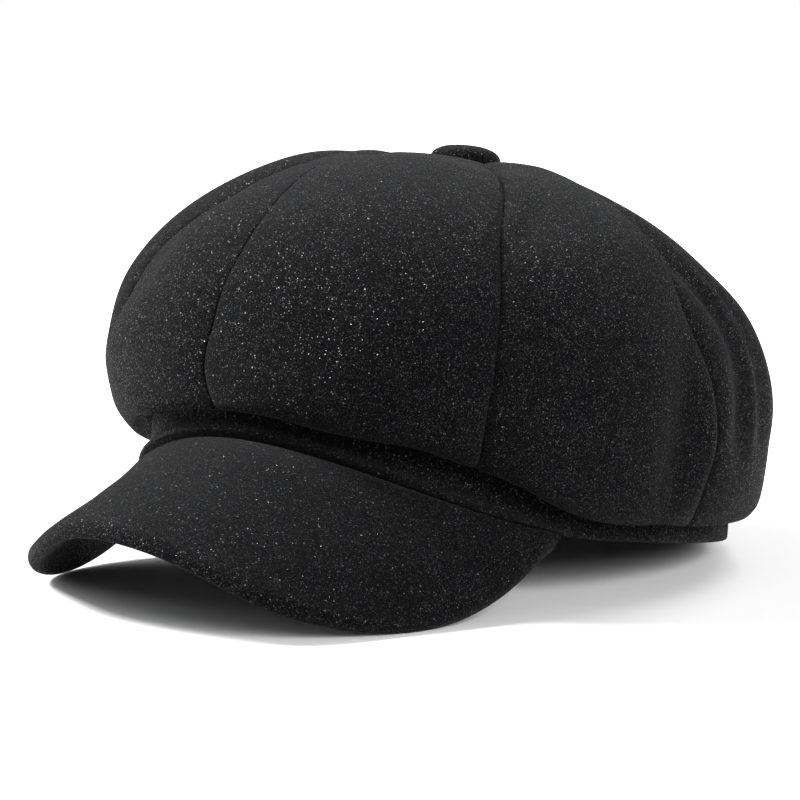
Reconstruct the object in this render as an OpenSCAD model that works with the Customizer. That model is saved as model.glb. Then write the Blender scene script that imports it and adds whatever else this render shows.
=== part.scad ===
// Eight-panel newsboy cap lying on a table, resting on its visor's two wings and the back of its band.
// +X is the wearer's left, -Y the front, +Z up. The origin is at the table, under the middle of the cap.
// Every piece is drawn in the cap's own frame, whose XY plane is the head opening, and on_table() places it.
// The cap's tilt on the table isn't set: it is the one at which the wings and the band's back both touch.

/* [Head opening] */
// Width of the outer band, ear to ear
band_w = 180; // [174:1:186]
// Length of the outer band, forehead to nape
band_l = 202; // [196:1:208]
// Height of the outer band
band_h = 28; // [26:1:30]
// How far the visor's arch lifts the band over the forehead
front_rise = 23; // [20:0.5:25]

/* [Crown] */
// Width of the crown at its widest
crown_w = 210; // [206:1:216]
// Length of the crown at its widest
crown_l = 218; // [216:1:224]
// How far the crown leans forward over the visor
crown_lean = 3.5; // [2:0.5:4]
// Height of the crown above the head opening
crown_h = 115; // [108:1:122]
// How far each panel puffs out between its seams
panel_puff = 3; // [1:0.5:4]

/* [Visor] */
// Length of the visor from its seam to its rim, along the middle
visor_l = 63; // [54:1:66]
// Slope of the visor below the plane of the head opening
visor_drop = 29; // [27:1:31]
// Half of the angle round the band that the visor covers
visor_half = 64; // [58:1:68]
// Extra slope of the visor's wings
wing_drop = 12; // [9:1:14]

/* [Cloth] */
// Thickness of the wool cloth
cloth_t = 2; // [1.6:0.1:2.2]
// Thickness of the lining
lining_t = 0.6; // [0.4:0.1:0.8]
// Thickness of the sweatband
sweat_t = 1.2; // [0.8:0.1:1.4]
// Thickness of the stiffener inside the band
stiffener_t = 0.8; // [0.6:0.1:1]

/* [Button] */
// Diameter of the covered button
button_d = 23; // [20:1:26]
// Height of the covered button
button_h = 5.6; // [5:0.2:7]

/* [Hidden] */
PANELS = ["front_left", "side_front_left", "side_back_left", "back_left",
          "back_right", "side_back_right", "side_front_right", "front_right"];
CROWN_NODES = [for (name = PANELS) str("crown_panel_", name)];
LINING_NODES = [for (name = PANELS) str("lining_panel_", name)];

WOOL = [0.07, 0.07, 0.075];
LINING = [0.1, 0.1, 0.11];
STIFFENER = [0.85, 0.83, 0.78];
STEEL = [0.75, 0.75, 0.77];

half_w = band_w / 2;
half_l = band_l / 2;
rise_half = 75;            // half of the angle over which the forehead's edge lifts
seam_lap = 3.5;            // the visor covers this much of the band's foot at the middle
panel_step = 360 / len(PANELS);
seam_shift = 1.5;          // the diagonal seams sit this many degrees nearer the sides

fold_gap = 0.2;            // between the band and the cloth that folds down over it
fold_r = 3.6;              // radius of the fold round the crown's foot
fold_low = 5.5;            // height of the fold above the band's foot
fold_lift = 6;             // how much higher the fold hangs beside the visor's wings,
fold_lift_at = 45;         // at this angle and
fold_lift_spread = 18;     // over this spread
widest_h = 41;             // height of the crown's widest line
widest_rise = 0.55;        // the share of the forehead's lift that the widest line follows
widest_back_sag = 4;       // how much lower the widest line runs at the nape
slack = 3;                 // how far the crown falls in behind the ears,
slack_at = 125;            // at this angle and
slack_spread = 30;         // over this spread
foot_power = 2.3;          // superellipse powers of the crown's foot and of its dome,
dome_power = 2.06;         // at the front
dome_back_power = 1.95;    // and at the nape
apex_v = -3;               // where the panels meet, ahead of the opening's middle
crown_slope = 0.03;        // the dome's own slope towards the nape
dimple = 2.6;              // depth and spread of the hollow under the button
dimple_spread = 14;
apex_hole = 2;             // radius of the hole that the button's loop goes through
lining_hole = 0.8;         // radius at which the lining's points are gathered
lining_gap = 4;            // between the crown's inner face at a seam and the lining
lining_over = 1;           // height of the lining's edge over the band's top

seam_gap = 0.12;           // between the visor's edge and the band that it is sewn to
rim_round = 4;             // width over which the visor thins towards its rim
rim_t = 0.6;               // half thickness of the visor's rim
visor_sink = 0.9;          // the visor's middle layer lies this far under its seam
top_t = 1.8;               // cloth over and under the visor's core
under_t = 1.2;
core_low = -1;             // the core and the joint between its two layers, from the middle layer
core_split = 0.4;
core_high = 1;
core_gap = 0.25;           // between the core and the cloth round it
core_inset = 5;            // how far the core stops short of the rim and the seam
core_inset_angle = 3.5;
outline_power = 5;         // superellipse powers of the visor's outline, across
corner_power = 2.6;        // and along
seam_squeeze = 0.35;       // share of the thickness left where the visor is sewn down

button_r = button_d / 2;
button_sink = 0.4;         // how far the button's edge sits under the crown's top
cover_t = 1.2;
shell_t = 0.4;
back_t = 0.5;
back_gap = 0.8;            // between the back plate and the shell's wall
loop_r = 1.2;              // radius of the wire loop's bend, to the wire's middle
wire_r = 0.35;
loop_drop = 6.2;           // how far the loop's straight legs reach under the apex
thread_r = 0.6;
thread_l = 9;
patch_r = 8;
patch_t = 0.8;
patch_drop = 5.8;          // of the patch's lower face, under the crown's top

panel_across = 8;          // facets across and along each piece
panel_along = 22;
lining_across = 6;
lining_along = 13;
ring_facets = 72;
visor_across = 34;
visor_along = 8;

function smooth(x) = let (c = min(max(x, 0), 1)) c * c * (3 - 2 * c);
function unit(v) = v / norm(v);
function wrap(t) = t > 180 ? t - 360 : t;
function mix(a, b, share) = a + (b - a) * share;

// Round the band, t runs from the front towards the wearer's left, in degrees.
function rise(t, h) = abs(t) < rise_half ? h * pow(cos(t * 90 / rise_half), 2) : 0;
function oval(t, grow, w) = [(half_w + grow) * sin(t), -(half_l + grow) * cos(t), w];
function seam_angle(k) = let (t = k * panel_step) t + seam_shift * sin(2 * t);
function panel_angle(k, x) = wrap(mix(seam_angle(k), seam_angle(k + 1), x));

// A quarter of a superellipse, from [0, 1] at q = 0 to [1, 0] at q = 90.
function quarter(q, power) = [pow(max(sin(q), 0), 2 / power), pow(max(cos(q), 0), 2 / power)];

// The crown's visible face without its puff: s runs 0 to 1 down the leg that is sewn to the band's top,
// to 2 round the fold's inside, to 3 out to the widest line, and to 4 over the dome.
function fold_foot(t) = rise(t, front_rise) + fold_low
    + fold_lift * exp(-pow((abs(t) - fold_lift_at) / fold_lift_spread, 2));
function crown_leg(t, share) =
    oval(t, fold_gap, mix(band_h + rise(t, front_rise), fold_foot(t) + fold_r, share));
function crown_fold(t, q) =
    let (arc = quarter(q, 2))
    oval(t, fold_gap + fold_r * (1 - arc[1]), fold_foot(t) + fold_r * (1 - arc[0]));
function crown_widest(t) =
    let (fallen = slack * exp(-pow((abs(t) - slack_at) / slack_spread, 2)))
    [(crown_w / 2 - fallen) * sin(t), -crown_lean - (crown_l / 2 - fallen) * cos(t),
     widest_h + widest_rise * rise(t, front_rise) - widest_back_sag * (1 - cos(t)) / 2];
function crown_foot(t, q) =
    let (arc = quarter(q, foot_power), low = crown_fold(t, 90), wide = crown_widest(t))
    [mix(low[0], wide[0], arc[0]), mix(low[1], wide[1], arc[0]), mix(wide[2], low[2], arc[1])];
function crown_dome(t, q) =
    let (arc = quarter(q, mix(dome_power, dome_back_power, (1 - cos(t)) / 2)),
         wide = crown_widest(t),
         u = wide[0] * arc[1],
         v = mix(apex_v, wide[1], arc[1]),
         w = mix(wide[2], crown_h, arc[0]),
         from_apex = norm([u, v - apex_v]))
    [u, v, w - crown_slope * (v - apex_v) * smooth((w - 30) / 60)
           - dimple * exp(-pow(from_apex / dimple_spread, 2))];
function crown_base(t, s) =
    s <= 1 ? crown_leg(t, s) :
    s <= 2 ? crown_fold(t, (s - 1) * 90) :
    s <= 3 ? crown_foot(t, (s - 2) * 90) :
             crown_dome(t, (s - 3) * 90);

// The normal at a place that is a function of t and s, on the side where t's direction crosses s's.
function normal(place, t, s) =
    let (dt = 0.5, ds = 0.01, s_high = min(s + ds, 3.99))
    unit(cross(place(t + dt, s) - place(t - dt, s), place(t, s_high) - place(t, s_high - 2 * ds)));

// The puff is nothing at a seam and full in the middle of a panel, and it dies out towards both ends.
function puff(x, s) =
    panel_puff * pow(sin(x * 180), 0.7) * smooth((s - 1.6) / 1.4) * (1 - 0.7 * smooth((s - 3.6) / 0.4));
function crown_face(t, x, s, depth) =
    crown_base(t, s) + normal(function (t, s) crown_base(t, s), t, s) * (puff(x, s) - depth);

// Where the ring round the apex is hole in radius.
function dome_end(hole) = 3 + acos(pow(hole / (crown_w / 2), dome_power / 2)) / 90;

// The share of the stations spent on the leg, on the fold and up to the widest line.
leg_end = 0.14;
fold_end = 0.3;
foot_end = 0.5;
function crown_station(x) =
    x < leg_end ? x / leg_end :
    x < fold_end ? 1 + (x - leg_end) / (fold_end - leg_end) :
    x < foot_end ? 2 + (x - fold_end) / (foot_end - fold_end) :
                   mix(3, dome_end(apex_hole), sin((x - foot_end) / (1 - foot_end) * 90));
crown_stations = [for (i = [0 : panel_along]) crown_station(i / panel_along)];

// The lining leaves the band's top edge, swings out to the crown's widest line and follows the dome inside.
function lining_base(t, s) =
    let (at = max(s, 3),
         out = normal(function (t, s) crown_base(t, s), t, at),
         inside = crown_base(t, at) - out * (cloth_t + lining_gap))
    s >= 3 ? inside :
    let (arc = quarter((s - 2) * 90, 2),
         edge = oval(t, -cloth_t - stiffener_t, band_h + rise(t, front_rise) + lining_over))
    [mix(edge[0], inside[0], arc[0]), mix(edge[1], inside[1], arc[0]), mix(inside[2], edge[2], arc[1])];
function lining_face(t, s, depth) =
    lining_base(t, s) - normal(function (t, s) lining_base(t, s), t, s) * depth;
swing_end = 0.3;           // the share of the lining's stations that it takes to reach the widest line
lining_stations = [for (i = [0 : lining_along])
    let (x = i / lining_along)
    x < swing_end ? 2 + x / swing_end
                  : mix(3, dome_end(lining_hole), sin((x - swing_end) / (1 - swing_end) * 90))];

// The visor is a vault: straight lines run forward and down from its seam on the band.
// t is the angle of a line's start and q the distance along it.
function visor_angle(x, half) = half * sin(x * 90);
function visor_reach(t, half, length) =
    length * max(pow(max(1 - pow(abs(t) / half, outline_power), 0), 1 / corner_power), 0.03);
function visor_line(t) =
    let (slope = visor_drop + wing_drop * pow(t / visor_half, 2))
    [0, -cos(slope), -sin(slope)];
function visor_mid(t, q) = oval(t, seam_gap, rise(t, front_rise)) + q * visor_line(t);

// At the seam the layers stack straight up the band, and further out along the vault's normal.
function visor_up(t, q) =
    let (dt = 0.5, n = unit(cross(visor_line(t), visor_mid(t + dt, q) - visor_mid(t - dt, q))))
    mix([0, 0, 1 / max(n[2], 0.6)], n, smooth(q / 14));

// Distance to the rim, from the outline |t / half| ^ outline_power + (q / length) ^ corner_power = 1.
function rim_distance(t, q) =
    let (side = abs(t) / visor_half, out = q / visor_l, mm_per_degree = 1.7,
         across = outline_power * pow(side, outline_power - 1) / (visor_half * mm_per_degree),
         along = corner_power * pow(out, corner_power - 1) / visor_l)
    max(1 - pow(side, outline_power) - pow(out, corner_power), 0) / max(norm([across, along]), 0.001);
function rim_share(t, q) = sqrt(1 - pow(1 - min(rim_distance(t, q) / rim_round, 1), 2));
function fullness(t, q) = rim_share(t, q) * mix(seam_squeeze, 1, smooth(q / 7));
function pocket(t, q) = smooth((rim_distance(t, q) - 2) / 2) * smooth((q - 1.5) / 2.5);
function visor_top(t, q) = max((core_high + top_t) * fullness(t, q), rim_t);
function visor_under(t, q) = min((core_low - under_t) * fullness(t, q), -rim_t);
function visor_face(t, q, height) = visor_mid(t, q) + visor_up(t, q) * (height - visor_sink);

// The stations along each line crowd towards the seam and the rim, where the thickness changes.
function visor_share(i) =
    let (x = i / visor_along)
    x < 0.25 ? x * 0.4 :
    x > 0.75 ? 1 - (1 - x) * 0.4 :
               mix(0.1, 0.9, (x - 0.25) * 2);
function visor_spot(i, j) =
    let (t = visor_angle(j / visor_across * 2 - 1, visor_half))
    [t, visor_share(i) * visor_reach(t, visor_half, visor_l)];

// The tilt at which the visor's lowest points are level with the band's, by halving the interval.
wing_points = [for (i = [0 : visor_along], j = [0 : visor_across])
    let (spot = visor_spot(i, j)) visor_face(spot[0], spot[1], visor_under(spot[0], spot[1]))];
band_points = [for (i = [0 : ring_facets / 2]) oval(i * 360 / ring_facets, 0, 0)];
function drop(points, angle) = min([for (p = points) p[2] * cos(angle) - p[1] * sin(angle)]);
function resting_tilt(low, high, turns) =
    let (middle = (low + high) / 2)
    turns == 0 ? middle :
    drop(wing_points, middle) < drop(band_points, middle) ? resting_tilt(middle, high, turns - 1)
                                                          : resting_tilt(low, middle, turns - 1);
tilt = resting_tilt(0, 20, 24);
foot_drop = -drop(band_points, tilt);

// The cap's length on the table runs from the visor's rim to the back panels.
function table_y(p) = p[1] * cos(tilt) + p[2] * sin(tilt);
visor_front = min([for (i = [0 : visor_along], j = [0 : visor_across])
    let (spot = visor_spot(i, j)) table_y(visor_face(spot[0], spot[1], visor_top(spot[0], spot[1])))]);
crown_back = max([for (k = [3, 4], j = [0 : panel_across], s = crown_stations)
    let (x = j / panel_across) table_y(crown_face(panel_angle(k, x), x, s, 0))]);
centre_y = -(visor_front + crown_back) / 2;

module on_table() {
    translate([0, centre_y, foot_drop]) rotate([-tilt, 0, 0]) children();
}

module at_apex() {
    on_table() translate([0, apex_v, crown_h]) children();
}

// The faces of a solid between two grids of points, each with so many rows of n points.
function grid_faces(rows, n) =
    let (back = rows * n)
    concat(
        [for (i = [0 : rows - 2], j = [0 : n - 2])
            let (a = i * n + j) each [[a, a + n + 1, a + 1], [a, a + n, a + n + 1]]],
        [for (i = [0 : rows - 2], j = [0 : n - 2])
            let (a = back + i * n + j) each [[a, a + 1, a + n + 1], [a, a + n + 1, a + n]]],
        [for (i = [0 : rows - 2], j = [0, n - 1])
            let (a = i * n + j, b = a + back)
            each j == 0 ? [[a, b + n, a + n], [a, b, b + n]] : [[a, a + n, b + n], [a, b + n, b]]],
        [for (j = [0 : n - 2], i = [0, rows - 1])
            let (a = i * n + j, b = a + back)
            each i == 0 ? [[a, a + 1, b + 1], [a, b + 1, b]] : [[a, b + 1, a + 1], [a, b, b + 1]]]);

// A solid whose front is on the side where a row's direction crosses the step to the next row.
module shell(front, back) {
    polyhedron([for (row = concat(front, back)) each row],
        grid_faces(len(front), len(front[0])), convexity = 6);
}

// A closed ring whose cross-section has four corners that change round the band.
module ring(corners) {
    n = len(corners);
    polyhedron([for (c = corners) each c],
        [for (i = [0 : n - 1], j = [0 : 3])
            let (next_j = (j + 1) % 4, next_i = (i + 1) % n,
                 a = i * 4 + j, b = i * 4 + next_j, c = next_i * 4 + next_j, d = next_i * 4 + j)
            each [[a, b, c], [a, c, d]]], convexity = 6);
}

module crown_panel(k) {
    function face(s, depth) = [for (j = [0 : panel_across])
        let (x = j / panel_across) crown_face(panel_angle(k, x), x, s, depth)];
    color(WOOL) on_table()
        shell([for (s = crown_stations) face(s, 0)], [for (s = crown_stations) face(s, cloth_t)]);
}

module lining_panel(k) {
    function face(s, depth) = [for (j = [0 : lining_across])
        lining_face(panel_angle(k, j / lining_across), s, depth)];
    color(LINING) on_table()
        shell([for (s = lining_stations) face(s, 0)], [for (s = lining_stations) face(s, lining_t)]);
}

// A strip round the opening, at a depth inside the band's face and between two heights.
module strip(depth, thick, low, high) {
    on_table() ring([for (i = [0 : ring_facets - 1])
        let (t = wrap(i * 360 / ring_facets),
             foot = low + rise(t, front_rise - seam_lap),
             top = high + rise(t, front_rise))
        [oval(t, -depth, foot), oval(t, -depth, top),
         oval(t, -depth - thick, top), oval(t, -depth - thick, foot)]]);
}

module outer_band() {
    color(WOOL) strip(0, cloth_t, 0, band_h);
}

module band_stiffener() {
    color(STIFFENER) strip(cloth_t, stiffener_t, 2, band_h - 1);
}

module sweatband() {
    color(LINING) strip(cloth_t + stiffener_t, sweat_t, 0.4, band_h - 0.5);
}

// One layer of the visor between two heights over its middle layer, both functions of t and q.
module visor_cover(low, high) {
    function face(i, height) = [for (j = [0 : visor_across])
        let (spot = visor_spot(i, j)) visor_face(spot[0], spot[1], height(spot[0], spot[1]))];
    on_table() shell([for (i = [visor_along : -1 : 0]) face(i, high)],
                     [for (i = [visor_along : -1 : 0]) face(i, low)]);
}

// One layer of the visor's core, which has its own outline inside the visor's.
module visor_core(low, high) {
    half = visor_half - core_inset_angle;
    function face(i, height) = [for (j = [0 : visor_across])
        let (t = visor_angle(j / visor_across * 2 - 1, half),
             reach = visor_reach(t, half, visor_l - 2 * core_inset))
        visor_face(t, core_inset + i / visor_along * reach, height)];
    on_table() shell([for (i = [visor_along : -1 : 0]) face(i, high)],
                     [for (i = [visor_along : -1 : 0]) face(i, low)]);
}

module visor_top_cloth() {
    color(WOOL) visor_cover(function (t, q) core_high * pocket(t, q), function (t, q) visor_top(t, q));
}

module visor_wadding() {
    color(STIFFENER) visor_core(core_split, core_high - core_gap);
}

module visor_board() {
    color(STIFFENER) visor_core(core_low + core_gap, core_split);
}

module visor_under_cloth() {
    color(WOOL) visor_cover(function (t, q) visor_under(t, q), function (t, q) core_low * pocket(t, q));
}

// The covered button: cloth over a pressed metal shell, closed by a back plate. The plate's wire loop goes
// through the panels' points and a patch behind them, where a stitched bar of thread holds it.
module button_dome(inset) {
    r = button_r - inset;
    h = button_h - inset;
    rotate_extrude($fn = 64)
        polygon(concat([[0, 0]], [for (a = [0 : 6 : 90]) [r * pow(cos(a), 0.75), h * pow(sin(a), 0.75)]]));
}

module button_cover() {
    color(WOOL) at_apex() translate([0, 0, -button_sink]) difference() {
        button_dome(0);
        button_dome(cover_t);
    }
}

module button_shell() {
    color(STEEL) at_apex() translate([0, 0, -button_sink]) difference() {
        button_dome(cover_t);
        button_dome(cover_t + shell_t);
    }
}

module button_legs(r, low, high) {
    for (side = [-1, 1])
        translate([side * loop_r, 0, low]) cylinder(r = r, h = high - low, $fn = 24);
}

module button_back() {
    color(STEEL) at_apex() difference() {
        translate([0, 0, -button_sink])
            cylinder(r = button_r - cover_t - shell_t - back_gap, h = back_t, $fn = 64);
        button_legs(wire_r, -loop_drop, button_h);
    }
}

module button_loop() {
    color(STEEL) at_apex() {
        button_legs(wire_r, -loop_drop, back_t - button_sink);
        translate([0, 0, -loop_drop]) rotate([-90, 0, 0])
            rotate_extrude(angle = 180, $fn = 32) translate([loop_r, 0]) circle(r = wire_r, $fn = 24);
    }
}

module button_thread() {
    color(WOOL) at_apex() translate([0, 0, -patch_drop - thread_r]) rotate([90, 0, 0])
        cylinder(r = thread_r, h = thread_l, center = true, $fn = 24);
}

module apex_patch() {
    color(LINING) at_apex() translate([0, 0, -patch_drop]) difference() {
        cylinder(r = patch_r, h = patch_t, $fn = 48);
        translate([0, 0, -patch_t]) cylinder(r = apex_hole, h = 3 * patch_t, $fn = 32);
    }
}

for (k = [0 : len(PANELS) - 1]) {
    crown_panel(k);
    lining_panel(k);
}
outer_band();
band_stiffener();
sweatband();
visor_top_cloth();
visor_wadding();
visor_board();
visor_under_cloth();
button_cover();
button_shell();
button_back();
button_loop();
button_thread();
apex_patch();
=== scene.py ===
"""A charcoal eight-panel newsboy cap lying on a pale floor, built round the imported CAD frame.

Shapes are worked out in millimetres in the cap's own frame: u to the wearer's left, v to the nape and
w up from the head opening. to_table() tips that frame onto the table and turns it into metres. Angles
are in degrees, and t is the angle round the cap, from the front towards the wearer's left.
"""

import math

import bpy
import numpy as np
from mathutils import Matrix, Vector


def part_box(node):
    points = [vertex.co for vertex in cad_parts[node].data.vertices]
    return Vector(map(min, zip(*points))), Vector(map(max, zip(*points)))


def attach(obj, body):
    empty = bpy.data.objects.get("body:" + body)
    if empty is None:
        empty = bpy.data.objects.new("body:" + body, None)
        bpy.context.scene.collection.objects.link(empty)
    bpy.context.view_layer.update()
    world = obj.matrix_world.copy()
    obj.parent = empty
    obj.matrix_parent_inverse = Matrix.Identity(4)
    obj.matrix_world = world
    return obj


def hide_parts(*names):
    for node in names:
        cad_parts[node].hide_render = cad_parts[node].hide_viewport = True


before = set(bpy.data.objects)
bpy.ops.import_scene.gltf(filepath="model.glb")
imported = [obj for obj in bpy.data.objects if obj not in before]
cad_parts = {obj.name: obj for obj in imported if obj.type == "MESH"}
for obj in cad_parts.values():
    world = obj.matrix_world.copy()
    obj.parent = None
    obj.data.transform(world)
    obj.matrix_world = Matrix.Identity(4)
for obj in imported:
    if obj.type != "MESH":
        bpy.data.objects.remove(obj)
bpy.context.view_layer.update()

MM = 0.001
PANELS = ["front_left", "side_front_left", "side_back_left", "back_left",
          "back_right", "side_back_right", "side_front_right", "front_right"]
GORE = 360 / len(PANELS)   # degrees from seam to seam

# ---------------------------------------------------------------- sizes, in millimetres and degrees

HALF_L = 101.0             # the band's oval, forehead to nape
BAND_H = 28.0
FRONT_RISE = 23.0          # the arch that the visor makes in the band's foot
RISE_HALF = 75.0
SEAM_LAP = 3.5             # the band reaches this far below the visor's seam
CLOTH = 2.0

FOLD_GAP = 0.2             # the crown's fold over the band
FOLD_R = 3.6
FOLD_LOW = 5.5
FOLD_LIFT = 6.0
FOLD_LIFT_AT = 45.0
FOLD_LIFT_SPREAD = 18.0
FAR_LIFT = 6.5             # the wearer's right side is folded up a little more
FAR_LIFT_AT = -60.0
FAR_LIFT_SPREAD = 22.0
NAPE_LIFT = 2.5
NAPE_LIFT_AT = 120.0
NAPE_LIFT_SPREAD = 22.0

CROWN_W = 210.0
CROWN_L = 218.0
CROWN_LEAN = 3.5           # the crown hangs a little forward over the band
CROWN_H = 115.0
WIDEST_H = 41.0
WIDEST_RISE = 0.55
WIDEST_SAG = 4.0
SLACK = 3.0
SLACK_AT = 125.0
SLACK_SPREAD = 30.0
FOOT_POWER = 2.3
DOME_POWER = 2.06
DOME_BACK_POWER = 1.95
APEX_V = -3.0
CROWN_SLOPE = 0.03         # the dome falls a little towards the nape
SLOPE_FROM = 30.0
SLOPE_OVER = 60.0
DIMPLE = 2.6
DIMPLE_SPREAD = 20.0
APEX_HOLE = 2.0
SEAM_SHIFT = 1.5           # every other seam is moved by this, to and fro

VISOR_L = 63.0
VISOR_DROP = 29.0
WING_DROP = 12.0
VISOR_HALF = 64.0
VISOR_SINK = 0.9
ROOT_SINK = 2.8            # how low the visor's seam lies over the forehead, under the roll
SIDE_SINK = 0.2
FAR_DENT = 3.6             # the wearer's right half of the visor is bent more, and is shorter
FAR_DENT_AT = -24.0
FAR_DENT_SPREAD = 14.0
FAR_SHORT = 3.6
FAR_SHORT_AT = -36.0
NEAR_LONG = 2.8            # and the left half reaches a little further
NEAR_LONG_AT = 36.0
NEAR_LONG_SPREAD = 13.0
VISOR_OVER = 3.0           # the visor's cloth, over and under its middle layer
VISOR_UNDER = 2.3
RIM_ROUND = 4.0
RIM_LEAST = 0.03           # how far out the visor still reaches at its ends, as a share of its length
OUTLINE_POWER = 5.0
CORNER_POWER = 2.6
ARC = 1.7                  # a degree round the band, in millimetres
UNEVEN = 0.35              # the visor's cloth isn't quite flat
ROOT_THIN = 0.25           # the share of its thickness that the visor has in its seam

BUTTON_D = 23.0
BUTTON_H = 5.6
BUTTON_SINK = 0.1
BUTTON_SKIRT = 1.8
BUTTON_POWER = 0.75
PLEATS = 12
PLEAT_DEPTH = 0.012


# ---------------------------------------------------------------- the cap's own frame

def box_mm(node):
    low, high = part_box(node)
    return np.array(low) / MM, np.array(high) / MM


band_low, band_high = box_mm("outer_band")
HALF_W = (band_high[0] - band_low[0]) / 2

# The band's top reaches its height over the forehead, and the tilt is what takes it there.
FRONT_TOP = BAND_H + FRONT_RISE
TILT = (math.asin(band_high[2] / math.hypot(2 * HALF_L, FRONT_TOP))
        - math.atan2(FRONT_TOP, 2 * HALF_L))
FOOT_DROP = HALF_L * math.sin(TILT)
CENTRE_Y = band_high[1] - HALF_L * math.cos(TILT) - BAND_H * math.sin(TILT)


def to_table(p):
    """Points in the cap's own frame, in millimetres, as points in the row frame, in metres."""
    u, v, w = p[..., 0], p[..., 1], p[..., 2]
    return np.stack([u, CENTRE_Y + v * math.cos(TILT) + w * math.sin(TILT),
                     FOOT_DROP - v * math.sin(TILT) + w * math.cos(TILT)], -1) * MM


def point(u, v, w):
    return np.stack(np.broadcast_arrays(u, v, w), -1).astype(float)


def smooth(x):
    x = np.clip(x, 0, 1)
    return x * x * (3 - 2 * x)


def after(x, start, over):
    """0 up to start, and from there rising to 1 over a stretch."""
    return smooth((x - start) / over)


def mix(a, b, share):
    return a + (b - a) * share


def bump(x, middle, spread):
    return np.exp(-((x - middle) / spread) ** 2)


def within(x, low, high, edge):
    """1 between low and high, fading to 0 over an edge outside each."""
    return smooth((x - low + edge) / edge) * smooth((high + edge - x) / edge)


def unit(v):
    return v / np.maximum(np.linalg.norm(v, axis=-1, keepdims=True), 1e-9)


def wrap(t):
    return (t + 180) % 360 - 180


def sin(t):
    return np.sin(np.radians(t))


def cos(t):
    return np.cos(np.radians(t))


def rise(t, height=FRONT_RISE):
    """How high the visor's arch lifts the band's foot."""
    t = wrap(t)
    return np.where(np.abs(t) < RISE_HALF, height * cos(t * 90 / RISE_HALF) ** 2, 0)


def oval(t, grow, w):
    return point((HALF_W + grow) * sin(t), -(HALF_L + grow) * cos(t), w)


def quarter(q, power):
    """A quarter of a superellipse, from (0, 1) at q = 0 to (1, 0) at q = 90."""
    return np.maximum(sin(q), 0) ** (2 / power), np.maximum(cos(q), 0) ** (2 / power)


# ---------------------------------------------------------------- the crown's smooth form

def fold_foot(t):
    """How high the foot of the crown's fold lies."""
    t = wrap(t)
    return (rise(t) + FOLD_LOW + FOLD_LIFT * bump(np.abs(t), FOLD_LIFT_AT, FOLD_LIFT_SPREAD)
            + FAR_LIFT * bump(t, FAR_LIFT_AT, FAR_LIFT_SPREAD)
            + NAPE_LIFT * bump(t, NAPE_LIFT_AT, NAPE_LIFT_SPREAD))


def widest(t):
    fallen = SLACK * bump(np.abs(wrap(t)), SLACK_AT, SLACK_SPREAD)
    return point((CROWN_W / 2 - fallen) * sin(t), -CROWN_LEAN - (CROWN_L / 2 - fallen) * cos(t),
                 WIDEST_H + WIDEST_RISE * rise(t) - WIDEST_SAG * (1 - cos(t)) / 2)


def crown_base(t, s):
    """The crown without its puff. The station s is 0 to 1 down the leg on the band, to 2 round the fold,
    to 3 out to the widest line and to 4 over the dome."""
    t, s = np.broadcast_arrays(np.asarray(t, float), np.asarray(s, float))
    foot, wide = fold_foot(t), widest(t)
    leg = oval(t, FOLD_GAP, mix(BAND_H + rise(t), foot + FOLD_R, np.clip(s, 0, 1)))
    up, out = quarter(np.clip(s - 1, 0, 1) * 90, 2)
    fold = oval(t, FOLD_GAP + FOLD_R * (1 - out), foot + FOLD_R * (1 - up))
    low = oval(t, FOLD_GAP + FOLD_R, foot)
    out, up = quarter(np.clip(s - 2, 0, 1) * 90, FOOT_POWER)
    flank = point(mix(low[..., 0], wide[..., 0], out), mix(low[..., 1], wide[..., 1], out),
                  mix(wide[..., 2], low[..., 2], up))
    up, out = quarter(np.clip(s - 3, 0, 1) * 90, mix(DOME_POWER, DOME_BACK_POWER, (1 - cos(t)) / 2))
    u, v = wide[..., 0] * out, mix(APEX_V, wide[..., 1], out)
    w = mix(wide[..., 2], CROWN_H, up)
    w = w - CROWN_SLOPE * (v - APEX_V) * after(w, SLOPE_FROM, SLOPE_OVER)
    dome = point(u, v, w - DIMPLE * bump(np.hypot(u, v - APEX_V), 0, DIMPLE_SPREAD))
    at = s[..., None]
    return np.where(at <= 1, leg, np.where(at <= 2, fold, np.where(at <= 3, flank, dome)))


def normal(surface, t, s):
    """The outward direction of a surface given by t and s."""
    dt, ds = 0.5, 0.01
    high = np.minimum(s + ds, 3.99)
    return unit(np.cross(surface(t + dt, s) - surface(t - dt, s),
                         surface(t, high) - surface(t, high - 2 * ds)))


# The station where the dome ends, at the hole under the button.
DOME_END = 3 + math.degrees(math.acos((APEX_HOLE / (CROWN_W / 2)) ** (DOME_POWER / 2))) / 90


# ---------------------------------------------------------------- the crown's panels, puff and folds

# Each seam's dip: how deep low on the crown and on the dome, and how wide before and after the seam.
SEAMS = [(0.8, 0.35, 7.0, 2.6), (1.1, 0.9, 5.0, 1.8), (1.2, 1.9, 2.0, 6.0), (1.4, 1.1, 5.0, 4.0),
         (1.3, 1.0, 4.0, 5.0), (1.5, 1.1, 5.0, 3.0), (1.2, 1.2, 3.0, 5.0), (1.2, 0.8, 5.0, 5.0)]
DIP_POWER = 1.3
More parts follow.
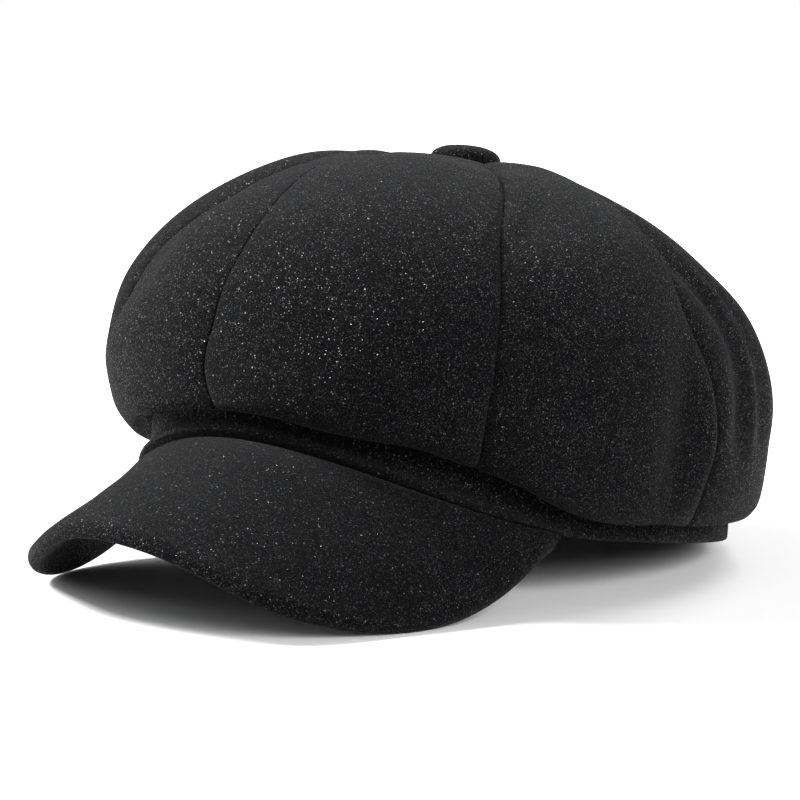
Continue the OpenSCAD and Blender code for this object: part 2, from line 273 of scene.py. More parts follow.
# How far each panel puffs between its seams, low on the crown and on the dome.
PUFFS = [(0.6, 0.9), (0.9, 1.0), (0.3, 0.9), (1.8, 2.0), (1.6, 2.0), (1.8, 2.4), (1.6, 4.6), (0.6, 1.0)]
PUFF_POWER = 0.8
PUFF_LOST = 0.75           # the share of the puff that is gone by the button
STAND = 0.9                # how far a whole panel stands out, for its seams to dip from
THREAD_DIP = 0.9           # the narrow groove that the stitches pull in
THREAD_WIDTH = 0.7
THREAD_LOST = 0.7          # the share of the groove that is gone by the button
FRONT_THREAD = 0.35        # the front seam's groove, as a share of the others'
NARROW = 18.0              # where a panel is narrower than this, its seams' dips fade
SEAM_TUCK = 3.0            # how steeply a panel's edge dives under its neighbour's, past the seam
SEAM_OVER = 0.005          # how far it goes on, as a share of the panel

# How the first three seams, which the camera sees best, stray from a straight line. A bend is how far,
# at which station and how long, and a turn is how far, from which station and over how much.
BENDS = [[(3.2, 3.25, 0.25), (-2.0, 2.7, 0.4)], [(1.0, 3.3, 0.3)], [(1.0, 2.9, 0.2), (-4.5, 3.28, 0.16)]]
TURNS = [(-3.5, 3.45, 0.25), (4.0, 3.35, 0.3), (-1.5, 3.4, 0.2)]
STRAY = 1.8                # how far the other seams stray

# The soft folds that the cloth keeps. Each row has how far out, where round the cap and how wide, the
# stations it lies between and how it fades past them, its lean in degrees a station and the station it
# leans from, and its share of the sway.
FOLDS = [(-3.0, 99, 3.6, 3.05, 3.4, 0.35, 0, 0, 1), (1.1, 103, 2.8, 3.05, 3.4, 0.35, 0, 0, 1),
         (-2.2, 108, 3.2, 3.1, 3.4, 0.3, 0, 0, 0.6), (1.0, 116, 8, 3.1, 3.3, 0.2, 0, 0, 0),
         (-2.0, 82, 4.5, 2.75, 3.1, 0.35, 0, 0, 0), (-6.0, -31, 14, 3.2, 3.5, 0.25, 0, 0, 0),
         (-2.0, -24, 12, 3.45, 3.65, 0.15, 0, 0, 0), (-1.8, 110, 14, 3.45, 3.7, 0.2, 0, 0, 0),
         (2.2, -56, 9, 3.22, 3.65, 0.2, 0, 0, 0), (-1.6, -43, 5, 1.6, 2.2, 0.4, -60, 1.9, 0),
         (-0.9, 57, 3.5, 3.4, 3.6, 0.15, 45, 3.5, 0), (-1.7, 26, 30, 3.74, 3.88, 0.1, 0, 0, 0),
         (-1.5, 143, 5, 2.5, 3.3, 0.4, 20, 3, 0), (-1.8, 171, 5.5, 2.3, 3.1, 0.5, -14, 3, 0),
         (-1.6, -152, 5, 2.6, 3.3, 0.4, 12, 3, 0), (-1.4, -118, 4.5, 2.4, 3.2, 0.4, -18, 3, 0),
         (-1.2, -72, 5, 2.2, 2.9, 0.4, 10, 3, 0)]
SWAY = 7.5                 # how far the folds behind the left side's seam turn to the front, high up
SWAY_FROM = 3.15
SWAY_OVER = 0.3


def drift(k, s):
    """How far seam k strays from its straight line, as hand-cut panels do."""
    if k >= len(BENDS):
        return STRAY * sin(k * 100 + (s - 2) * 110) * smooth(s - 1.5)
    turn, start, over = TURNS[k]
    bent = sum(bend * bump(s, at, spread) for bend, at, spread in BENDS[k])
    return bent + turn * after(s, start, over)


def seam_at(k, s):
    """Where round the cap seam k lies. The panel of the same number follows it."""
    seam = k % len(PANELS)
    return k * GORE + SEAM_SHIFT * math.sin(math.radians(seam * 90)) + drift(seam, s)


def panel_angle(k, x, s):
    return mix(seam_at(k, s), seam_at(k + 1, s), x)


def upper(s):
    """0 low on the crown, 1 on its dome."""
    return after(s, 2.7, 0.6)


def folds(t, s):
    """How far the cloth's own folds stand out, in millimetres."""
    t = wrap(t)
    sway = SWAY * after(s, SWAY_FROM, SWAY_OVER)
    return sum(far * bump(t - lean * (s - start) + share * sway, at, spread) * within(s, low, high, edge)
               for far, at, spread, low, high, edge, lean, start, share in FOLDS)


def crown_form(k, x, s, groove=0.0):
    """Panel k at x across it, from 0 to 1, and at the station s up it."""
    t = panel_angle(k, x, s)
    base = crown_base(t, s)
    span = seam_at(k + 1, s) - seam_at(k, s)
    arc = np.radians(span) * np.hypot(base[..., 0], base[..., 1] - APEX_V)
    wide, above = smooth(arc / NARROW), after(s, 1.6, 1.2)
    full = mix(*PUFFS[k], upper(s)) * above * (1 - PUFF_LOST * after(s, 3.7, 0.25))
    stand = STAND * above * (1 - after(s, 3.75, 0.2))
    stand = stand + full * np.maximum(sin(x * 180), 0) ** PUFF_POWER
    fade = after(s, 1.9, 0.8) * wide
    thread = after(s, 1.5, 0.6) * wide * (1 - THREAD_LOST * after(s, 3.5, 0.3))
    stand = stand - SEAM_TUCK * np.maximum(np.maximum(-x, x - 1), 0) * arc
    for seam, away, side in ((k, np.abs(x) * arc, 3), ((k + 1) % len(PANELS), np.abs(1 - x) * arc, 2)):
        depth = mix(SEAMS[seam][0], SEAMS[seam][1], upper(s))
        stand = stand - depth * np.exp(-(away / SEAMS[seam][side]) ** DIP_POWER) * fade
        faint = FRONT_THREAD if seam == 0 else 1
        stand = stand - groove * np.exp(-away / THREAD_WIDTH) * thread * faint
    return base + normal(crown_base, t, s) * (stand + folds(t, s))[..., None]


# ---------------------------------------------------------------- mesh making

def mesh_object(name, points, faces, material, levels=0, thick=0.0):
    mesh = bpy.data.meshes.new(name)
    mesh.from_pydata([tuple(p) for p in points], [], faces)
    mesh.validate()
    for polygon in mesh.polygons:
        polygon.use_smooth = True
    mesh.materials.append(material)
    piece = bpy.data.objects.new(name, mesh)
    bpy.context.collection.objects.link(piece)
    if thick:
        solid = piece.modifiers.new("thickness", "SOLIDIFY")
        solid.thickness = thick * MM
        solid.offset = -1
    if levels:
        subdivision = piece.modifiers.new("smooth", "SUBSURF")
        subdivision.levels = subdivision.render_levels = levels
    return piece


def grid_faces(rows, columns, closed=False, ring=False):
    """Quads over rows of points. closed joins the last column to the first, and ring the last row."""
    across = columns if closed else columns - 1
    down = rows if ring else rows - 1
    return [(r * columns + c, r * columns + (c + 1) % columns,
             (r + 1) % rows * columns + (c + 1) % columns, (r + 1) % rows * columns + c)
            for r in range(down) for c in range(across)]


def grid_object(name, grid, material, closed=False, ring=False, levels=0, thick=0.0, capped=False):
    rows, columns = grid.shape[:2]
    faces = grid_faces(rows, columns, closed, ring)
    if capped:
        faces.append(tuple(range((rows - 1) * columns, rows * columns)))
    return mesh_object(name, to_table(grid).reshape(-1, 3), faces, material, levels, thick)


def between(grid, at, closed=False):
    """Rows of a grid at fractional places, by a cubic through the four rows round each."""
    low = np.floor(at).astype(int)
    share = (at - low).reshape(-1, *[1] * (grid.ndim - 1))
    rows = [low + i for i in (-1, 0, 1, 2)]
    a, b, c, d = (grid[row % len(grid) if closed else np.clip(row, 0, len(grid) - 1)] for row in rows)
    bend, twist = 2 * a - 5 * b + 4 * c - d, 3 * (b - c) + d - a
    return b + 0.5 * share * (c - a + share * (bend + share * twist))


# ---------------------------------------------------------------- materials

USUAL = (0.3, 0.7)         # where most of a noise's values lie


class Finish:
    """A Principled material and short ways to wire its nodes."""

    def __init__(self, name, roughness=0.8, specular=0.3, **inputs):
        self.made = bpy.data.materials.new(name)
        self.made.use_nodes = True
        self.nodes, self.links = self.made.node_tree.nodes, self.made.node_tree.links
        self.nodes.clear()
        output = self.nodes.new("ShaderNodeOutputMaterial")
        self.shader = self.nodes.new("ShaderNodeBsdfPrincipled")
        self.links.new(self.shader.outputs[0], output.inputs[0])
        self.feed(self.shader.inputs["Roughness"], roughness)
        self.feed(self.shader.inputs["Specular IOR Level"], specular)
        for key, value in inputs.items():
            self.feed(self.shader.inputs[key.replace("_", " ")], value)

    def feed(self, socket, value):
        if isinstance(value, bpy.types.NodeSocket):
            self.links.new(value, socket)
        elif isinstance(value, tuple) and len(value) == 3 and len(socket.default_value) == 4:
            socket.default_value = (*value, 1)
        else:
            socket.default_value = value

    def node(self, kind, **inputs):
        node = self.nodes.new("ShaderNode" + kind)
        for key, value in inputs.items():
            self.feed(node.inputs[key.replace("_", " ")], value)
        return node

    def texture(self, kind, size, **inputs):
        """A texture whose features are about size millimetres across."""
        where = self.node("TexCoord").outputs["Object"]
        return self.node("Tex" + kind, Vector=where, Scale=1 / (size * MM), **inputs)

    def noise(self, size, detail=2.0, roughness=0.5):
        return self.texture("Noise", size, Detail=detail, Roughness=roughness).outputs["Fac"]

    def span(self, value, low, high, start=0.0, end=1.0):
        node = self.node("MapRange", Value=value)
        for key, number in (("From Min", start), ("From Max", end), ("To Min", low), ("To Max", high)):
            node.inputs[key].default_value = number
        return node.outputs[0]

    def vary(self, noise, low, high):
        """A noise spread from low to high."""
        return self.span(noise, low, high, *USUAL)

    def math(self, operation, a, b=0.0):
        node = self.nodes.new("ShaderNodeMath")
        node.operation = operation
        self.feed(node.inputs[0], a)
        self.feed(node.inputs[1], b)
        return node.outputs[0]

    def vector(self, operation, *values):
        node = self.nodes.new("ShaderNodeVectorMath")
        node.operation = operation
        for socket, value in zip(node.inputs, values):
            self.feed(socket, value)
        return node.outputs[0]

    def ramp(self, value, *stops):
        node = self.nodes.new("ShaderNodeValToRGB")
        self.feed(node.inputs[0], value)
        elements = node.color_ramp.elements
        while len(elements) < len(stops):
            elements.new(0.5)
        for element, (at, colour) in zip(elements, stops):
            element.position = at
            element.color = (*colour, 1) if isinstance(colour, tuple) else (colour, colour, colour, 1)
        return node.outputs[0]

    def times(self, a, b):
        node = self.nodes.new("ShaderNodeMix")
        node.data_type, node.blend_type = "RGBA", "MULTIPLY"
        node.inputs[0].default_value = 1
        self.feed(node.inputs[6], a)
        self.feed(node.inputs[7], b)
        return node.outputs[2]

    def bumps(self, height, distance, strength=1.0):
        """Raise the surface by distance millimetres where height is 1."""
        node = self.node("Bump", Height=height, Distance=distance * MM, Strength=strength)
        self.feed(self.shader.inputs["Normal"], node.outputs[0])

    def paint(self, colour, roughness):
        self.feed(self.shader.inputs["Base Color"], colour)
        self.feed(self.shader.inputs["Roughness"], roughness)


FLECK = 0.27               # one fibre's end
LEAN = 0.8                 # how far a glossy fibre may lean from the cloth
GLINT = 0.9
GLINT_ROUGHNESS = 0.37


def melton():
    """Brushed black wool: a dense felted grain, pale and faintly coloured flecks, and a soft nap."""
    cloth = Finish("melton_wool", specular=0.06, Sheen_Weight=0.04, Sheen_Roughness=0.45,
                   Sheen_Tint=(0.95, 0.97, 1.0))
    cells = cloth.texture("Voronoi", FLECK)
    colours = cloth.node("SeparateColor", Color=cells.outputs["Color"])
    grain = cloth.ramp(colours.outputs[0], (0.0, 0.0007), (0.3, 0.0012), (0.55, 0.0021), (0.75, 0.0039),
                       (0.9, 0.0074), (0.975, 0.017), (1.0, 0.04))
    tint = cloth.ramp(colours.outputs[1], (0.0, (0.80, 0.86, 1.2)), (0.35, (0.97, 0.99, 1.05)),
                      (0.75, (1.0, 1.0, 1.02)), (0.9, (1.12, 0.93, 0.93)), (1.0, (1.02, 1.08, 0.85)))
    nap = cloth.vary(cloth.noise(14, 3), 0.8, 1.2)
    felt = cloth.vary(cloth.noise(1.3, 3), 0.75, 1.25)
    patches = cloth.ramp(cloth.noise(5, 2), (0.36, (0.93, 0.98, 1.10)), (0.5, (1.03, 0.98, 1.03)),
                         (0.64, (1.03, 1.03, 0.90)))
    tinted = cloth.times(cloth.times(grain, tint), patches)
    colour = cloth.times(tinted, cloth.math("MULTIPLY", nap, felt))
    cloth.paint(colour, cloth.vary(cloth.noise(3, 3), 0.85, 1.0))
    fuzz, ends = cloth.noise(0.7, 3, 0.7), cloth.math("MULTIPLY", cells.outputs["Distance"], 0.8)
    cloth.bumps(cloth.math("ADD", fuzz, ends), 0.3, 0.75)
    # Some fibres are glossy and lean their own way, so they glint where a lamp reaches them.
    lean = cloth.node("TexWhiteNoise", Vector=cells.outputs["Position"]).outputs["Color"]
    lean = cloth.vector("MULTIPLY_ADD", lean, (2 * LEAN, 2 * LEAN, 2 * LEAN), (-LEAN, -LEAN, -LEAN))
    outwards = cloth.node("NewGeometry").outputs["Normal"]
    lean = cloth.vector("NORMALIZE", cloth.vector("ADD", outwards, lean))
    glint = cloth.ramp(colours.outputs[2], (0.0, 0.0), (0.84, 0.0), (0.92, 0.35), (1.0, GLINT))
    coat = {"Coat Weight": glint, "Coat Roughness": GLINT_ROUGHNESS, "Coat Normal": lean}
    for name, value in coat.items():
        cloth.feed(cloth.shader.inputs[name], value)
    return cloth.made


def satin():
    """Black satin: fine diagonal threads, a soft broken gloss and slight rubbed patches."""
    cloth = Finish("black_satin", specular=0.5, Sheen_Weight=0.1)
    twill = cloth.texture("Wave", 2.4, Distortion=0.6)
    twill.bands_direction = "DIAGONAL"
    rubbed = cloth.noise(18, 4)
    shades = cloth.ramp(rubbed, (0.3, (0.010, 0.010, 0.012)), (0.75, (0.022, 0.022, 0.025)))
    # The twill's grooves are painted darker and its crests lighter: painted shade and painted highlight
    # that follow the twill's relief.
    colour = cloth.times(shades, cloth.span(twill.outputs["Fac"], 0.7, 1.15))
    cloth.paint(colour, cloth.vary(rubbed, 0.28, 0.48))
    cloth.bumps(twill.outputs["Fac"], 0.05, 0.5)
    return cloth.made


RIB = 1.1                  # from rib to rib of the ribbon


def grosgrain():
    """Black ribbed ribbon. Its mesh carries how far round the ribbon each point is, in millimetres."""
    cloth = Finish("black_grosgrain", specular=0.35, Sheen_Weight=0.15)
    round_it = cloth.node("Attribute")
    round_it.attribute_name = "round_mm"
    turns = cloth.math("MULTIPLY", round_it.outputs["Fac"], math.tau / RIB)
    ribs = cloth.span(cloth.math("SINE", turns), 0.0, 1.0, -1.0, 1.0)
    worn = cloth.noise(9, 4)
    # The grooves between the ribs are painted darker than the ribs' crests: painted shade in the
    # grooves.
    shades = cloth.ramp(ribs, (0.0, (0.004, 0.004, 0.005)), (0.6, (0.013, 0.013, 0.015)))
    colour = cloth.times(shades, cloth.vary(worn, 0.7, 1.4))
    cloth.paint(colour, cloth.vary(worn, 0.5, 0.75))
    cloth.bumps(ribs, 0.2, 0.9)
    return cloth.made


def felted(name, dark, light, size, roughness):
    """A plain fibrous stuff in two shades, such as canvas or thread."""
    cloth = Finish(name, specular=0.2)
    fibres = cloth.noise(size, 5, 0.7)
    shades = cloth.ramp(fibres, (0.3, dark), (0.7, light))
    cloth.paint(shades, cloth.vary(fibres, roughness - 0.1, roughness + 0.1))
    cloth.bumps(fibres, 0.15 * size, 0.6)
    return cloth.made


def steel():
    """Zinc-plated steel: grey spangles, some duller than others."""
    metal = Finish("zinc_plated_steel", specular=0.5, Metallic=1.0)
    spangle = metal.noise(1.5, 4)
    shades = metal.ramp(spangle, (0.3, (0.42, 0.43, 0.45)), (0.7, (0.62, 0.62, 0.63)))
    metal.paint(shades, metal.vary(spangle, 0.25, 0.45))
    metal.bumps(spangle, 0.05, 0.3)
    return metal.made


def paper(shade):
    """The floor: a pale seamless sheet with the faintest tooth."""
    floor = Finish("pale_paper", roughness=0.8, specular=0.1)
    shades = floor.ramp(floor.noise(6, 3), (0.3, shade * 0.985), (0.7, shade))
    floor.feed(floor.shader.inputs["Base Color"], shades)
    return floor.made


MELTON = melton()
SATIN = satin()
RIBBON = grosgrain()
CANVAS = felted("bonded_canvas", (0.020, 0.020, 0.021), (0.055, 0.054, 0.052), 0.8, 0.85)
THREAD = felted("black_thread", (0.006, 0.006, 0.007), (0.03, 0.03, 0.034), 0.3, 0.7)
STEEL = steel()


def place(piece, slot, *nodes):
    """Puts a finished piece in the root body and hides the CAD nodes that it stands for. Its slot is not
    used.
    """
    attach(piece, "root")
    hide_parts(*nodes)


# ---------------------------------------------------------------- camera and light

AZIMUTH, ELEVATION = 39.0, 6.2
DISTANCE = 0.8             # this and the target's height are in metres
TARGET_H = 0.05
SENSOR = 36.0
LENS = 3.08                # the focal length for each millimetre of the sensor
SHIFT_X, SHIFT_Y = -0.0506, 0.0056

ROOM = 0.30                # how brightly the room itself lights the cap
# Each lamp's direction, its strength and how soft it is.
LAMPS = {"key": ((-1.0, -0.5, 1.0), 5.6, 14), "left": ((-1.0, -0.35, 0.4), 1.6, 30),
         "right": ((1.0, -0.2, 0.5), 3.5, 30), "back": ((0.0, 0.9, 1.0), 1.6, 30)}
FLOOR_HALF = 40.0
FLOOR_SHADE = 0.9


def camera():
    """The photograph's view: low, from in front of the wearer's left."""
    target = Vector((0, CENTRE_Y * MM, TARGET_H))
    a, e = math.radians(AZIMUTH), math.radians(ELEVATION)
    back = Vector((math.sin(a) * math.cos(e), -math.cos(a) * math.cos(e), math.sin(e)))
    data = bpy.data.cameras.new("camera")
    data.sensor_width = SENSOR
    data.lens = SENSOR * LENS
    data.shift_x, data.shift_y = SHIFT_X, SHIFT_Y
    eye = bpy.data.objects.new("camera", data)
    eye.location = target + back * DISTANCE
    eye.rotation_euler = back.to_track_quat("Z", "Y").to_euler()
    bpy.context.collection.objects.link(eye)
    bpy.context.scene.camera = eye


def sun(name, towards, strength, softness):
    """A light from far off, in the direction towards, as wide as softness in degrees."""
    data = bpy.data.lights.new(name, "SUN")
    data.energy, data.angle = strength, math.radians(softness)
    light = bpy.data.objects.new(name, data)
    light.rotation_euler = Vector(towards).to_track_quat("Z", "Y").to_euler()
    bpy.context.collection.objects.link(light)


def studio():
    """A white sweep: a soft key lamp, weaker ones at the sides and back, and a dim room that the camera
    sees white."""
    world = bpy.data.worlds.new("studio")
    bpy.context.scene.world = world
    world.use_nodes = True
    nodes, links = world.node_tree.nodes, world.node_tree.links
    nodes.clear()
    seen, lit = nodes.new("ShaderNodeBackground"), nodes.new("ShaderNodeBackground")
    for node, strength in ((seen, 1.0), (lit, ROOM)):
        node.inputs[0].default_value = (1, 1, 1, 1)
        node.inputs[1].default_value = strength
    rays, mixed = nodes.new("ShaderNodeLightPath"), nodes.new("ShaderNodeMixShader")
    output = nodes.new("ShaderNodeOutputWorld")
    links.new(rays.outputs["Is Camera Ray"], mixed.inputs[0])
    links.new(lit.outputs[0], mixed.inputs[1])
    links.new(seen.outputs[0], mixed.inputs[2])
    links.new(mixed.outputs[0], output.inputs[0])
    for name, (towards, strength, softness) in LAMPS.items():
        sun(name, towards, strength, softness)
    bpy.context.scene.view_settings.view_transform = "Standard"
    corners = [(x * FLOOR_HALF, y * FLOOR_HALF, 0) for x, y in ((-1, -1), (1, -1), (1, 1), (-1, 1))]
    floor = mesh_object("floor", corners, [(0, 1, 2, 3)], paper(FLOOR_SHADE))
    floor.visible_diffuse = False


camera()
studio()


# ---------------------------------------------------------------- the crown

ROWS = 120
SIM_ACROSS = 16            # the simulated ring's columns in a panel
SIM_ROWS = 48
SIM_FRAMES = 20
SEAM_HOLD = 0.35           # how firmly the seams are held while the cloth settles
MOST_MOVE = 5.0
CROWN_THICK = 1.6
# Where a panel's columns stand across its first half: close together by the seam.
COLUMNS = np.concatenate([[0, 0.006, 0.013, 0.022, 0.034, 0.050, 0.070], np.linspace(0.095, 0.5, 15)])
COLUMNS = np.concatenate([[-SEAM_OVER], COLUMNS, 1 - COLUMNS[-2::-1], [1 + SEAM_OVER]])


def crown_stations(n):
    """Stations from the top of the leg to the button: the shares of the rows that the leg, the fold and
    the foot end at, and closer rows towards the dome's middle."""
    x = np.linspace(0, 1, n)
    leg, fold, foot = 0.10, 0.18, 0.38
    dome = mix(3, DOME_END, sin((x - foot) / (1 - foot) * 90))
    low = np.where(x < fold, 1 + (x - leg) / (fold - leg), 2 + (x - fold) / (foot - fold))
    return np.where(x < leg, x / leg, np.where(x < foot, low, dome))


def settled_crown():
    """How far each point of the crown moves, in metres, when its cloth is let go. The leg, the button
    and, less firmly, the seams hold it. The cloth between, cut a little full, finds its own folds."""
    x = np.arange(SIM_ACROSS)[None, :] / SIM_ACROSS
    s = crown_stations(SIM_ROWS)[:, None]
    x, s = np.broadcast_arrays(x, s)
    grid = np.concatenate([crown_form(k, x, s) for k in range(len(PANELS))], 1)
    start = to_table(grid)
    ring = mesh_object("cloth_test", start.reshape(-1, 3),
                       grid_faces(SIM_ROWS, len(PANELS) * SIM_ACROSS, closed=True), MELTON)
    seam = np.tile(np.arange(SIM_ACROSS) == 0, len(PANELS))[None, :]
    held = np.maximum(1 - after(s[:, :1], 1.3, 0.5), after(s[:, :1], 3.8, 0.1))
    hold = np.maximum(held, np.where(seam, SEAM_HOLD, 0.0)).ravel()
    pins = ring.vertex_groups.new(name="held")
    for index, weight in enumerate(hold):
        if weight > 0.01:
            pins.add([index], float(weight), "REPLACE")
    cloth = ring.modifiers.new("cloth", "CLOTH").settings
    cloth.quality = 5
    cloth.mass = 0.3
    cloth.tension_stiffness = cloth.compression_stiffness = 15
    cloth.shear_stiffness = 5
    cloth.bending_stiffness = 0.4
    cloth.vertex_group_mass = "held"
    cloth.shrink_min = -0.015
    cloth.use_pressure = True
    cloth.uniform_pressure_force = 0.7
    cloth.effector_weights.gravity = 0.0
    for number in range(1, SIM_FRAMES + 1):
        bpy.context.scene.frame_set(number)
    done = ring.evaluated_get(bpy.context.evaluated_depsgraph_get()).data
    moved = np.array([v.co for v in done.vertices]).reshape(start.shape) - start
    bpy.context.scene.frame_set(1)
    bpy.data.objects.remove(ring)
    for _ in range(2):
        near = np.roll(moved, 1, 1) + np.roll(moved, -1, 1)
        moved[1:-1] = (2 * moved[1:-1] + near[1:-1] + moved[:-2] + moved[2:]) / 6
    far = np.linalg.norm(moved, axis=-1, keepdims=True) / MM
    return moved / np.maximum(far / MOST_MOVE, 1)


def crown():
    """Eight gores, each one mesh, moved as the settled cloth was."""
    moved = between(settled_crown(), np.linspace(0, SIM_ROWS - 1, ROWS)).swapaxes(0, 1)
    s = crown_stations(ROWS)[:, None]
    for k, name in enumerate(PANELS):
        grid = to_table(crown_form(k, COLUMNS[None, :], s, THREAD_DIP))
        grid = grid + between(moved, (k + COLUMNS) * SIM_ACROSS, closed=True).swapaxes(0, 1)
        rows, columns = grid.shape[:2]
        piece = mesh_object("crown_" + name, grid.reshape(-1, 3), grid_faces(rows, columns), MELTON,
                            levels=1, thick=CROWN_THICK)
        place(piece, "melton", "crown_panel_" + name)


crown()


# ---------------------------------------------------------------- the band

ROLL = 3.4                 # the soft roll above the visor's seam
ROLL_AT = 0.8
ROLL_SPREAD = 2.0
ROLL_PAST = 4.0            # how far past the visor's ends it goes on, and how it fades, in degrees
ROLL_FADE = 10.0
HEM = 1.0                  # the rounding of the band's foot
LAP = 0.5                  # the band's seam at the nape
LAP_SPREAD = 0.9


def band_roll(t, w):
    """How far the band's foot rolls out over the visor's seam."""
    ends = smooth((VISOR_HALF + ROLL_PAST - np.abs(wrap(t))) / ROLL_FADE)
    return ROLL * bump(w - rise(t), ROLL_AT, ROLL_SPREAD) * ends


def band():
    """The standing band: down its outside, round its foot and up its inside."""
    t = np.linspace(-180, 180, 288, endpoint=False)[None, :]
    low = rise(t, FRONT_RISE - SEAM_LAP) + HEM
    top = BAND_H + rise(t)
    lap = LAP * bump(np.abs(wrap(t)), 180, LAP_SPREAD)
    rows = []
    for share in np.linspace(1, 0, 26) ** 1.3:
        w = mix(low, top, share)
        rows.append(oval(t, -lap + band_roll(t, w), w))
    for turn in np.linspace(0, 180, 9)[1:]:
        rows.append(oval(t, -HEM + HEM * cos(turn) - lap * (turn < 60), low - HEM * sin(turn)))
    for share in np.linspace(0.1, 1, 10):
        rows.append(oval(t, -CLOTH, mix(low, top, share)))
    grid = np.concatenate(rows, 0)
    piece = grid_object("outer_band_cloth", grid, MELTON, closed=True, ring=True, levels=1)
    place(piece, "melton", "outer_band")


SWEAT_OUT = -2.8           # the ribbon's outer and inner faces, from the band's outside
SWEAT_IN = -4.0
SWEAT_LAP = 7.0            # the ribbon's ends lap at the nape, in degrees
SWEAT_STEP = 1.25          # how far in the upper end lies
SWEAT_WAVE = 0.15
SWEAT_FOOT = 0.03          # the share of the height that its rounded foot takes
SWEAT_LEAN = 0.5           # how far its top edge leans in
SWEAT_UP = 0.4             # how far it stays inside the band's foot and top
SWEAT_DOWN = 0.5


def sweatband():
    """The ribbed ribbon inside the band, its ends lapped at the nape."""
    t = np.linspace(-180, 180 + SWEAT_LAP, 420)
    inward = SWEAT_STEP * after(t, 176, 5) + SWEAT_WAVE * sin(t * 7) * after(t, -180, 30)
    foot, top = rise(t, FRONT_RISE - SEAM_LAP) + SWEAT_UP, BAND_H + rise(t) - SWEAT_DOWN
    outer = [(SWEAT_OUT, share) for share in np.linspace(1, SWEAT_FOOT, 14)]
    rim = [(mix(SWEAT_OUT, SWEAT_IN, 0.5 - 0.5 * cos(turn)), SWEAT_FOOT * (1 - sin(turn)))
           for turn in (30, 60, 90, 120, 150)]
    inner = [(SWEAT_IN, share) for share in np.linspace(SWEAT_FOOT, 1, 14)]
    profile = outer + rim + inner
    grid = np.stack([oval(t, grow - inward - SWEAT_LEAN * bump(share, 1, 0.12) * (grow == SWEAT_IN),
                          mix(foot, top, share)) for grow, share in profile])
    piece = grid_object("sweatband_ribbon", grid, RIBBON, ring=True)
    along = piece.data.attributes.new("round_mm", "FLOAT", "POINT")
    radius = (HALF_W + HALF_L) / 2
    along.data.foreach_set("value", np.tile(np.radians(t) * radius, len(profile)))
    place(piece, "sweatband", "sweatband")


band()
sweatband()


# ---------------------------------------------------------------- the lining

LINING_IN = 6.0
LINING_SLACK = 1.5
LINING_OVER = 0.012        # a gore's edge goes on past its seam by this share, behind its neighbour
LINING_TUCK = 0.5
LINING_FLANK = 0.3         # the share of a gore's rows below its dome
LINING_EDGE = 2.0          # how far below the band's top it is sewn in
LINING_THICK = 0.4


def lining_base(t, s):
    """The lining without its slack: s is 2 at the band, 3 at the foot of the dome and 4 at its top."""
    t, s = np.broadcast_arrays(np.asarray(t, float), np.asarray(s, float))
    at = np.maximum(s, 3)
    inside = crown_base(t, at) - normal(crown_base, t, at) * LINING_IN
    out, up = quarter(np.clip(s - 2, 0, 1) * 90, 2)
    edge = oval(t, SWEAT_OUT, BAND_H + rise(t) - LINING_EDGE)
    swing = point(mix(edge[..., 0], inside[..., 0], out), mix(edge[..., 1], inside[..., 1], out),
                  mix(inside[..., 2], edge[..., 2], up))
    return np.where((s >= 3)[..., None], inside, swing)


def lining_panel(k):
    """One gore of the lining: loose between its seams, in soft folds that run up from the band."""
    x = np.concatenate([[-LINING_OVER], np.linspace(0, 1, 25), [1 + LINING_OVER]])[None, :]
    n = np.linspace(0, 1, 56)
    dome = mix(3, DOME_END, sin((n - LINING_FLANK) / (1 - LINING_FLANK) * 90))
    s = np.where(n < LINING_FLANK, 2 + n / LINING_FLANK, dome)[:, None]
    t = mix(k * GORE, (k + 1) * GORE, x)
    seam = np.minimum(x, 1 - x)
    slack = LINING_SLACK * after(s, 2, 0.3) * (1 - after(s, 3.5, 0.4))
    wave = 0.5 + 0.3 * sin(t * 16 + 40 * sin(s * 70)) + 0.2 * sin(t * 37 + 90 * s)
    inward = slack * wave * smooth(seam / 0.12) - LINING_TUCK * (seam < 0)
    grid = lining_base(t, s) - normal(lining_base, t, s) * inward[..., None]
    piece = grid_object("lining_" + PANELS[k], grid, SATIN, levels=1, thick=LINING_THICK)
    place(piece, "lining", "lining_panel_" + PANELS[k])


for k in range(len(PANELS)):
    lining_panel(k)


# ---------------------------------------------------------------- the visor

# On the visor, q is how far out a point lies from its seam.
def visor_length(t):
    return (VISOR_L - FAR_SHORT * bump(t, FAR_SHORT_AT, FAR_DENT_SPREAD)
            + NEAR_LONG * bump(t, NEAR_LONG_AT, NEAR_LONG_SPREAD))


def visor_reach(t):
    round_end = np.maximum(1 - (np.abs(t) / VISOR_HALF) ** OUTLINE_POWER, 0) ** (1 / CORNER_POWER)
    return visor_length(t) * np.maximum(round_end, RIM_LEAST)


def visor_line(t):
    """The direction in which the visor goes out and down."""
    drop = VISOR_DROP + WING_DROP * (t / VISOR_HALF) ** 2
    return point(0 * t, -cos(drop), -sin(drop))


def visor_mid(t, q):
    return oval(t, 0.1, rise(t)) + q[..., None] * visor_line(t)


def visor_up(t, q):
    """The direction of the visor's thickness: upright in its seam, square to its face further out."""
    dt = 0.5
    n = unit(np.cross(visor_line(t), visor_mid(t + dt, q) - visor_mid(t - dt, q)))
    straight = point(0 * t, 0 * t, 1 / np.maximum(n[..., 2], 0.6))
    return mix(straight, n, smooth(q / 14)[..., None])


def rim_distance(t, q):
    """Roughly how far a point lies inside the visor's rim."""
    length = visor_length(t)
    side, out = np.abs(t) / VISOR_HALF, q / length
    across = OUTLINE_POWER * side ** (OUTLINE_POWER - 1) / (VISOR_HALF * ARC)
    along = CORNER_POWER * out ** (CORNER_POWER - 1) / length
    inside = np.maximum(1 - side ** OUTLINE_POWER - out ** CORNER_POWER, 0)
    return inside / np.maximum(np.hypot(across, along), 0.001)


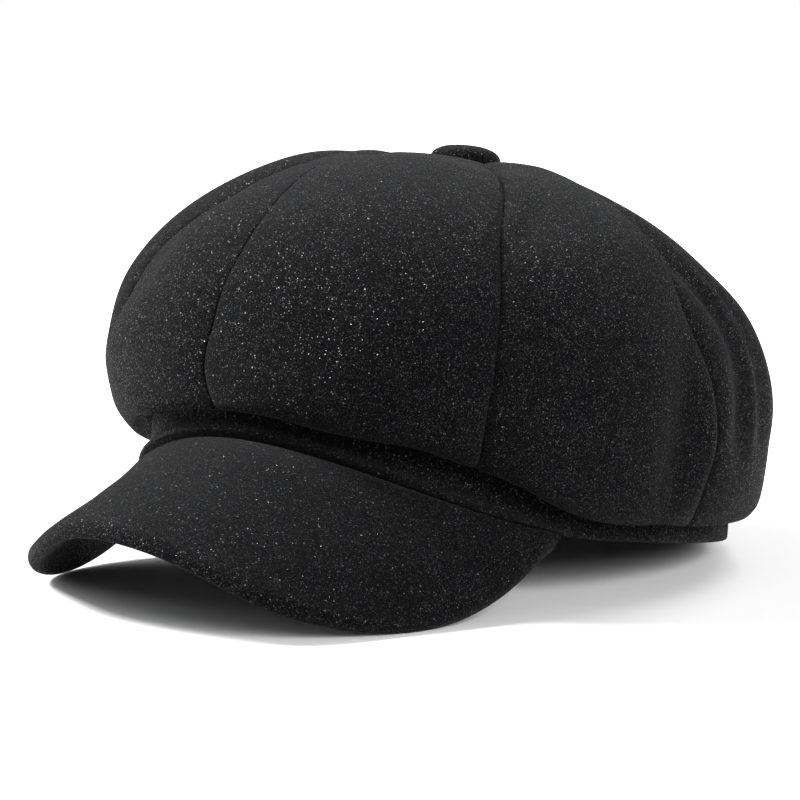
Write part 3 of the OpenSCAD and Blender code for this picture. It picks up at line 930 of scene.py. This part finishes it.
def visor_grid(side):
    """The visor's upper face for side 1, and its lower face for side -1."""
    t = (VISOR_HALF * sin(np.linspace(-90, 90, 121)))[None, :]
    f = (1 - (1 - np.linspace(0, 1, 48)) ** 2.2)[:, None]
    t, f = np.broadcast_arrays(t, f)
    q = f * visor_reach(t)
    d = rim_distance(t, q)
    rounded = np.sqrt(np.maximum(1 - (1 - np.minimum(d / RIM_ROUND, 1)) ** 2, 0))
    full = rounded * mix(ROOT_THIN, 1, smooth(q / 5))
    uneven = UNEVEN * sin(t * 3.1 + q * 5) * sin(q * 4.3 + 50) * smooth(d / 12)
    height = (VISOR_OVER + uneven if side > 0 else -VISOR_UNDER + uneven * 0.5) * full
    root = mix(SIDE_SINK, ROOT_SINK, rise(t) / FRONT_RISE)
    dented = VISOR_SINK + FAR_DENT * bump(t, FAR_DENT_AT, FAR_DENT_SPREAD)
    sink = mix(root, dented, smooth(q / 18))
    return visor_mid(t, q) + visor_up(t, q) * (height - sink)[..., None]


def visor():
    """Its two faces, which meet at the rim."""
    piece = grid_object("visor_top", visor_grid(1)[::-1], MELTON, levels=1)
    place(piece, "melton", "visor_top_cloth", "visor_wadding", "visor_board")
    piece = grid_object("visor_under", visor_grid(-1), MELTON, levels=1)
    place(piece, "melton", "visor_under_cloth")


visor()


# ---------------------------------------------------------------- the button

def button():
    """The covered button: a pleated skirt tucked under a low dome."""
    angle = np.linspace(0, 360, 96, endpoint=False)[None, :]
    climb = np.concatenate([np.linspace(-60, 0, 6)[:-1], np.linspace(0, 89.5, 20)])[:, None]
    pleats = 1 + PLEAT_DEPTH * sin(angle * PLEATS) * smooth(cos(climb) * 1.2)
    r = BUTTON_D / 2 * np.maximum(cos(climb), 0) ** BUTTON_POWER * pleats
    dome = BUTTON_H * np.maximum(sin(climb), 0) ** BUTTON_POWER
    h = np.where(climb < 0, BUTTON_SKIRT * sin(climb), dome)
    angle, r, h = np.broadcast_arrays(angle, r, h)
    grid = point(r * cos(angle), APEX_V + r * sin(angle), CROWN_H - BUTTON_SINK + h)
    piece = grid_object("button_cloth", grid, MELTON, closed=True, levels=1, capped=True)
    place(piece, "melton", "button_cover")


button()


# ---------------------------------------------------------------- the CAD pieces that stay, refinished

for name, finish in (("band_stiffener", CANVAS), ("button_shell", STEEL), ("button_back", STEEL),
                     ("button_loop", STEEL), ("button_thread", THREAD), ("apex_patch", SATIN)):
    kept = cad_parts[name]
    kept.data.materials.clear()
    kept.data.materials.append(finish)
